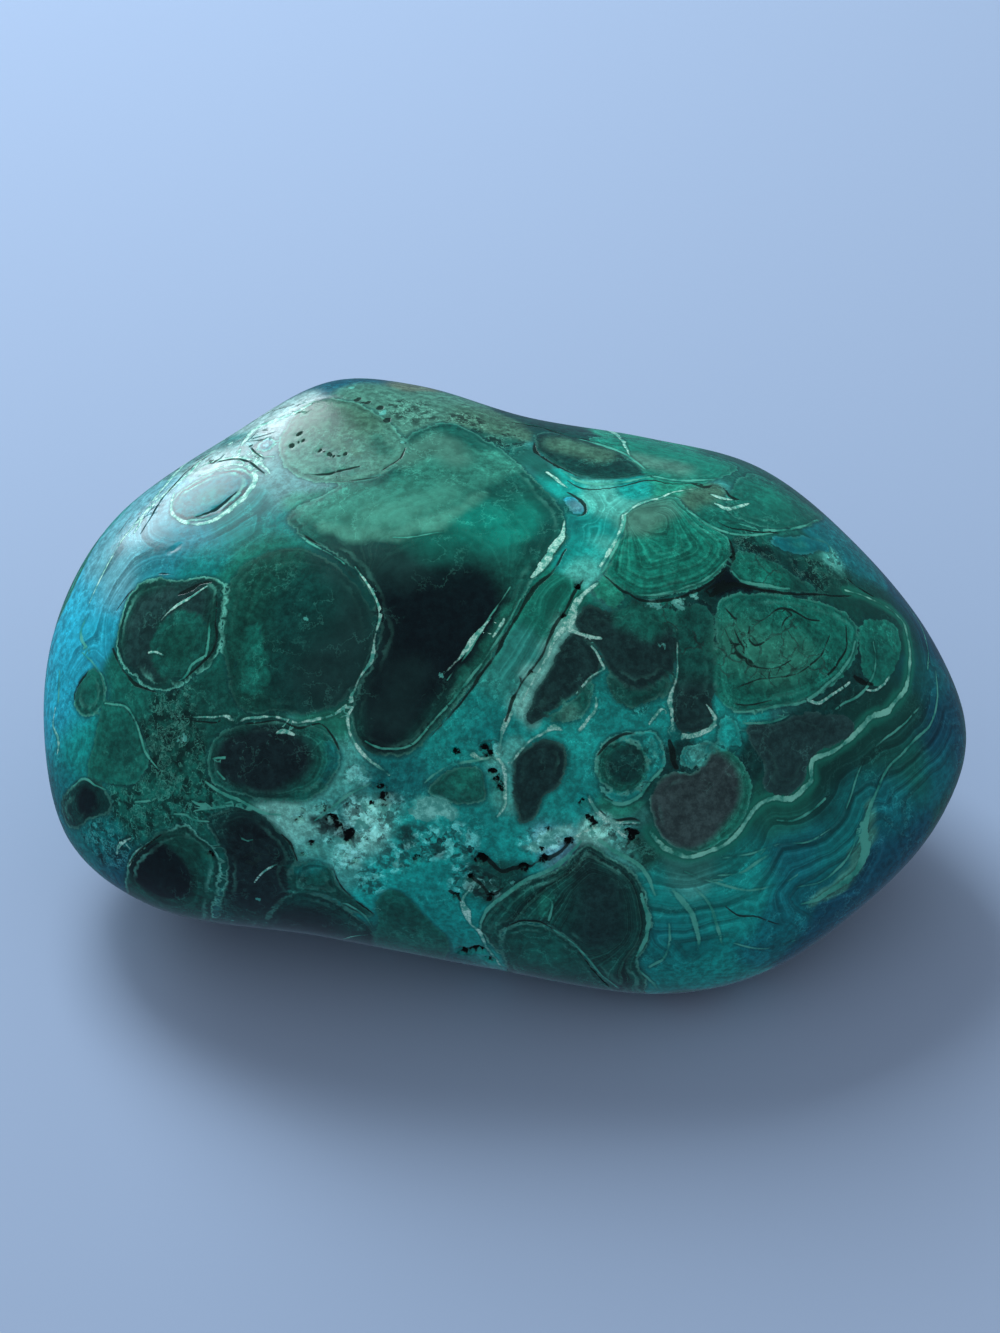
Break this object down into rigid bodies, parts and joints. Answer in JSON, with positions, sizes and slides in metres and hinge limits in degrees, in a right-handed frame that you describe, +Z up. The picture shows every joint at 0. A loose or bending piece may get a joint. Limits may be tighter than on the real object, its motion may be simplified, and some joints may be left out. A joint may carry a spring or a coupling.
{
  "type": "polished chrysocolla stone",
  "caption": "Tumbled, polished hand stone of green banded malachite nodules in blue-green chrysocolla, rounded all over, resting on a small flat.",
  "frame": {"origin": "centre of the stone's bounding box, on the plane it rests on", "axes": "+X along the stone's length, to the right as seen from the polished front; +Y away from that viewer; +Z up"},
  "size_m": [0.07, 0.043, 0.0334],
  "materials": {
    "polished_stone": "polished, with dark green malachite nodules ringed in mint and blue-green chrysocolla flowing between them, and rough open pits in a pale sandy patch"
  },
  "bodies": {
    "root": {"stone": "polished_stone"}
  },
  "joints": []
}
